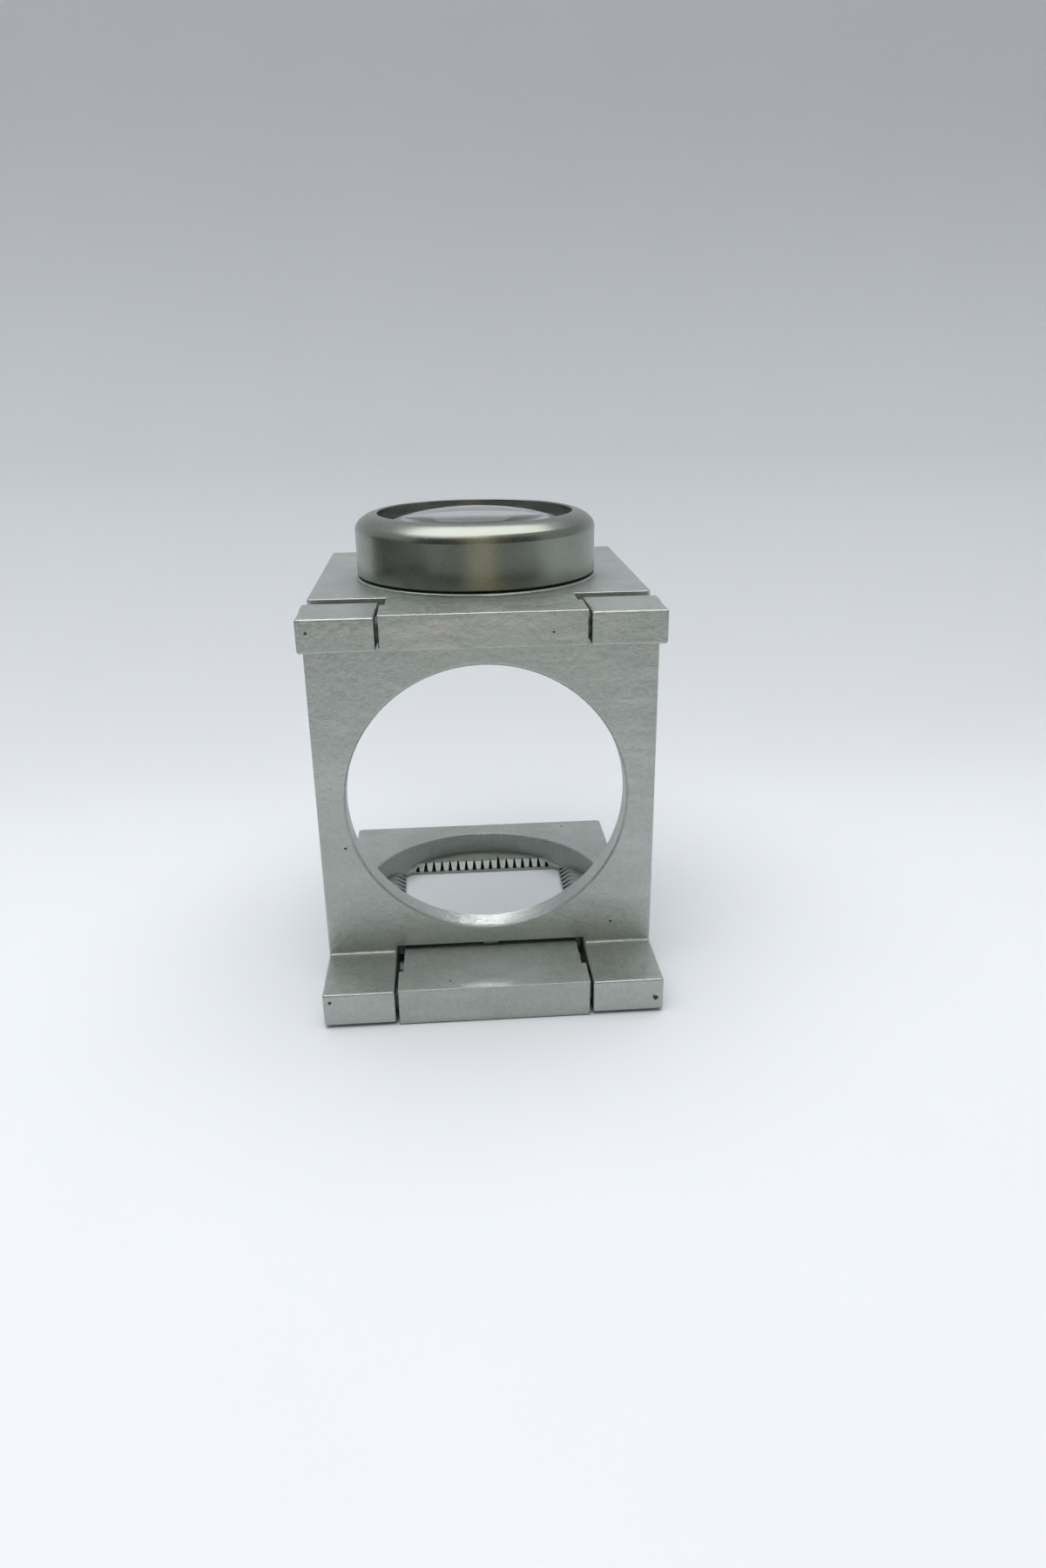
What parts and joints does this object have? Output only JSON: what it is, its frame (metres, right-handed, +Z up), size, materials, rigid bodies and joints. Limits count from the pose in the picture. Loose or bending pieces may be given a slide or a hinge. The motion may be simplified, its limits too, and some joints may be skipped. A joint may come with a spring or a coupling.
{
  "type": "viewing loupe",
  "caption": "Folding stand magnifier: a round lens in a plate on a hinged upright, over a hinged base plate with a graduated square viewing window.",
  "frame": {"origin": "bottom centre of the open loupe's bounding box, on the surface the base plate rests on", "axes": "+Z up along the optical axis, +Y from the hinged upright towards the far edge of the plates, +X to the right seen from the hinge side"},
  "size_m": [0.0324, 0.0384, 0.0454],
  "materials": {
    "cast_frame": "satin silver-grey lacquer on die-cast metal",
    "cast_lens_plate": "satin silver-grey lacquer on die-cast metal",
    "cast_base_plate": "satin silver-grey lacquer on die-cast metal, dark-filled graduations",
    "mount_metal": "satin turned, smoke grey",
    "lens_glass": "polished",
    "black_ring": "matt black anodised",
    "pin_steel": "drawn steel rod",
    "washer_steel": "thin blackened spring washer"
  },
  "bodies": {
    "stand": {"stand_frame": "cast_frame", "upper_hinge_pin": "pin_steel", "lower_hinge_pin": "pin_steel", "upper_washer_left": "washer_steel", "upper_washer_right": "washer_steel", "lower_washer_left": "washer_steel", "lower_washer_right": "washer_steel"},
    "lens": {"lens_plate": "cast_lens_plate", "lens_mount": "mount_metal", "eye_lens": "lens_glass", "lens_spacer": "black_ring", "field_lens": "lens_glass", "retaining_ring": "black_ring"},
    "base": {"base_plate": "cast_base_plate"}
  },
  "joints": [
    {"name": "lens_fold", "type": "hinge", "parent": "stand", "child": "lens", "pos_m": [0, -0.01372, 0.0371], "axis": [1, 0, 0], "range_deg": [0, 270]},
    {"name": "base_fold", "type": "hinge", "parent": "stand", "child": "base", "pos_m": [0, -0.01738, 0.00185], "axis": [-1, 0, 0], "range_deg": [0, 270]}
  ]
}
